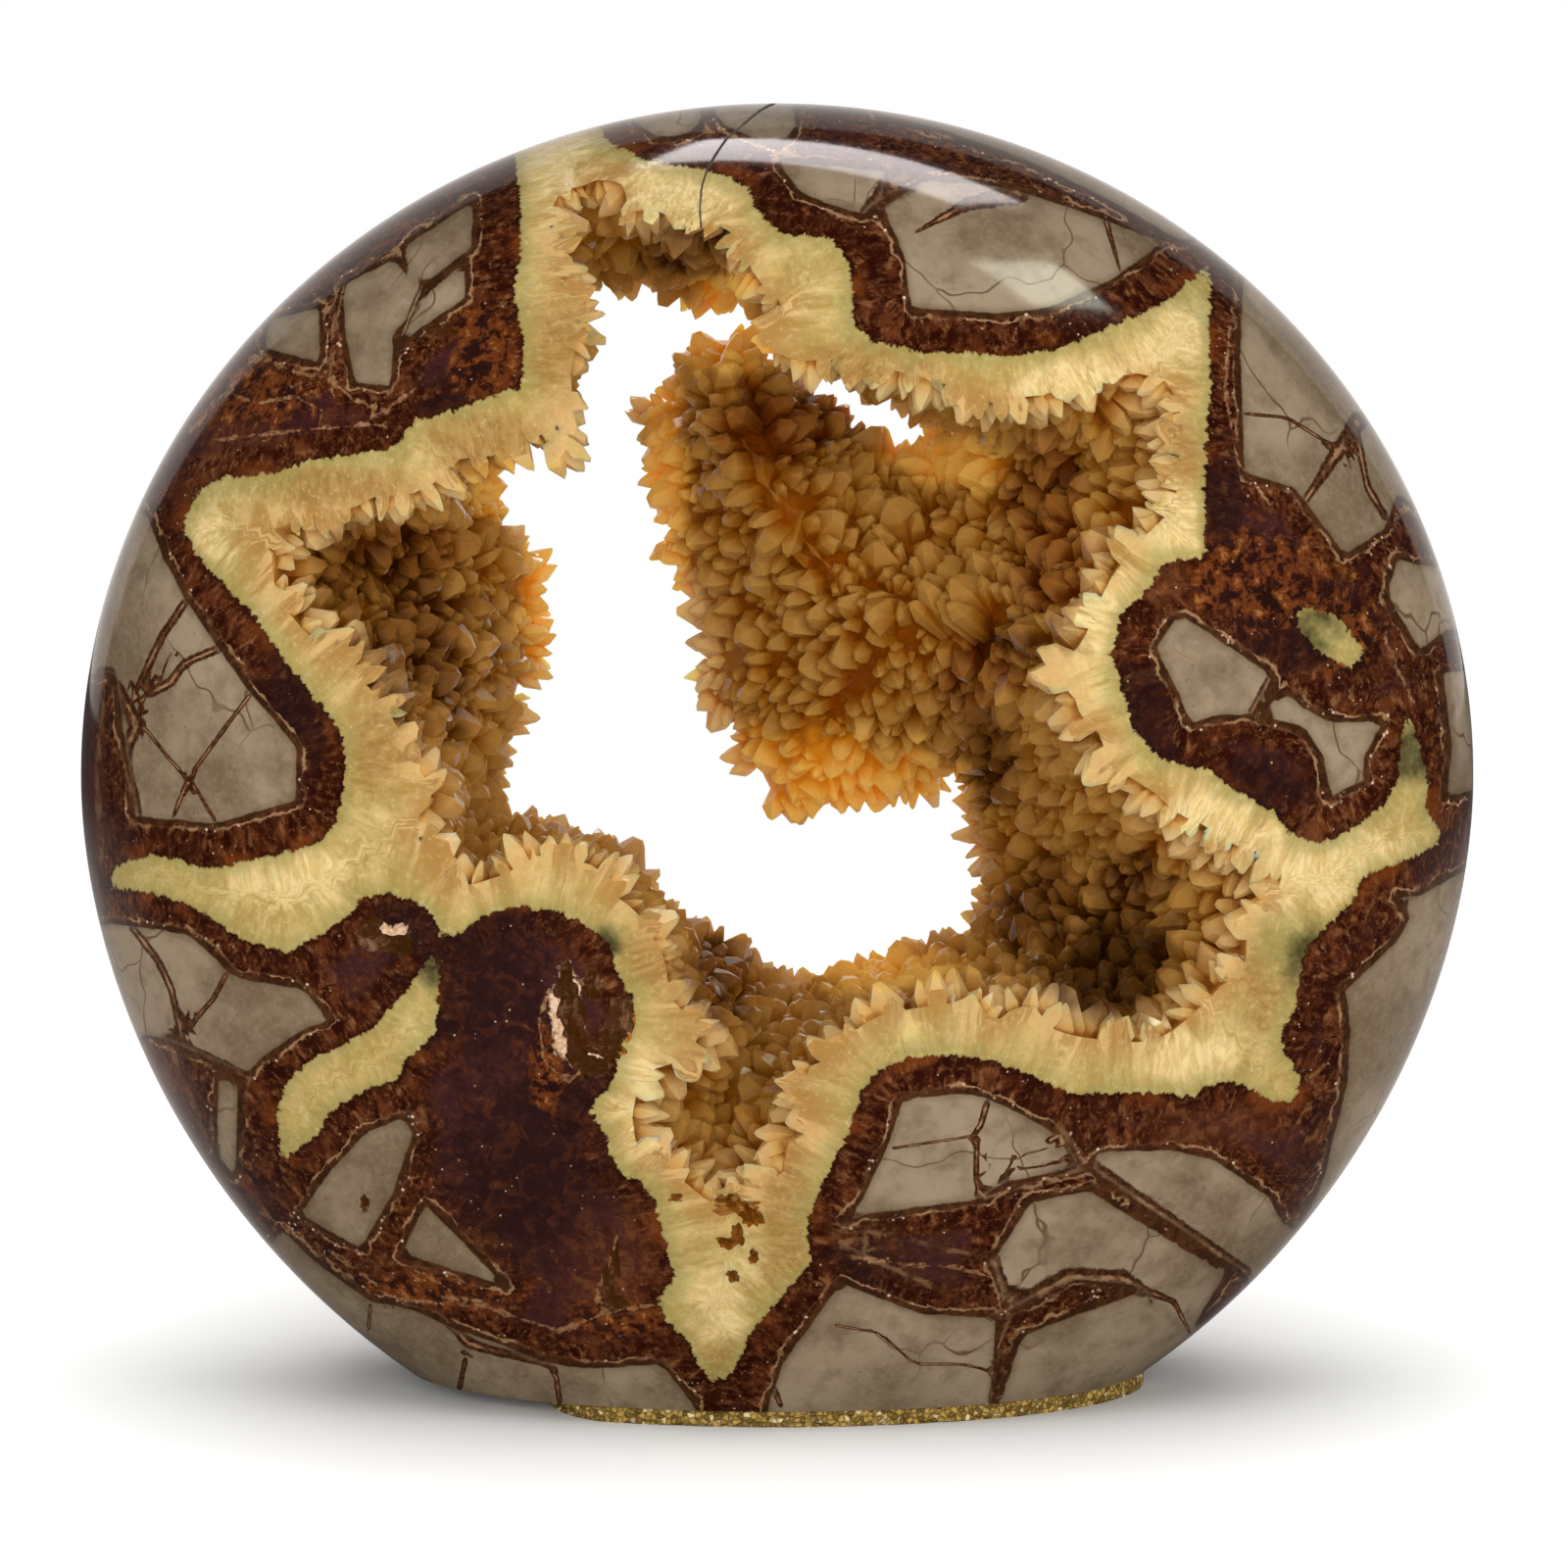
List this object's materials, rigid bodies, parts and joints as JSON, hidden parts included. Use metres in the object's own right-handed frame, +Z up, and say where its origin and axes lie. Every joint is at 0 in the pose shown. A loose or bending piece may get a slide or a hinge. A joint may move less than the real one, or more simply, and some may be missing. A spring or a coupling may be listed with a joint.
{
  "type": "septarian nodule",
  "caption": "Polished septarian nodule standing on edge, with a crystal lined star shaped crack right through it and a cork pad under its flat spot.",
  "frame": {"origin": "on the surface that the nodule stands on, under the middle of the stone", "axes": "+X to the right across the polished front face, +Y to the back through the stone's thickness, +Z up"},
  "size_m": [0.15, 0.0677, 0.1387],
  "materials": {
    "polished_stone": "polished",
    "cork": "matte"
  },
  "bodies": {
    "root": {"nodule": "polished_stone", "base_pad": "cork"}
  },
  "joints": []
}
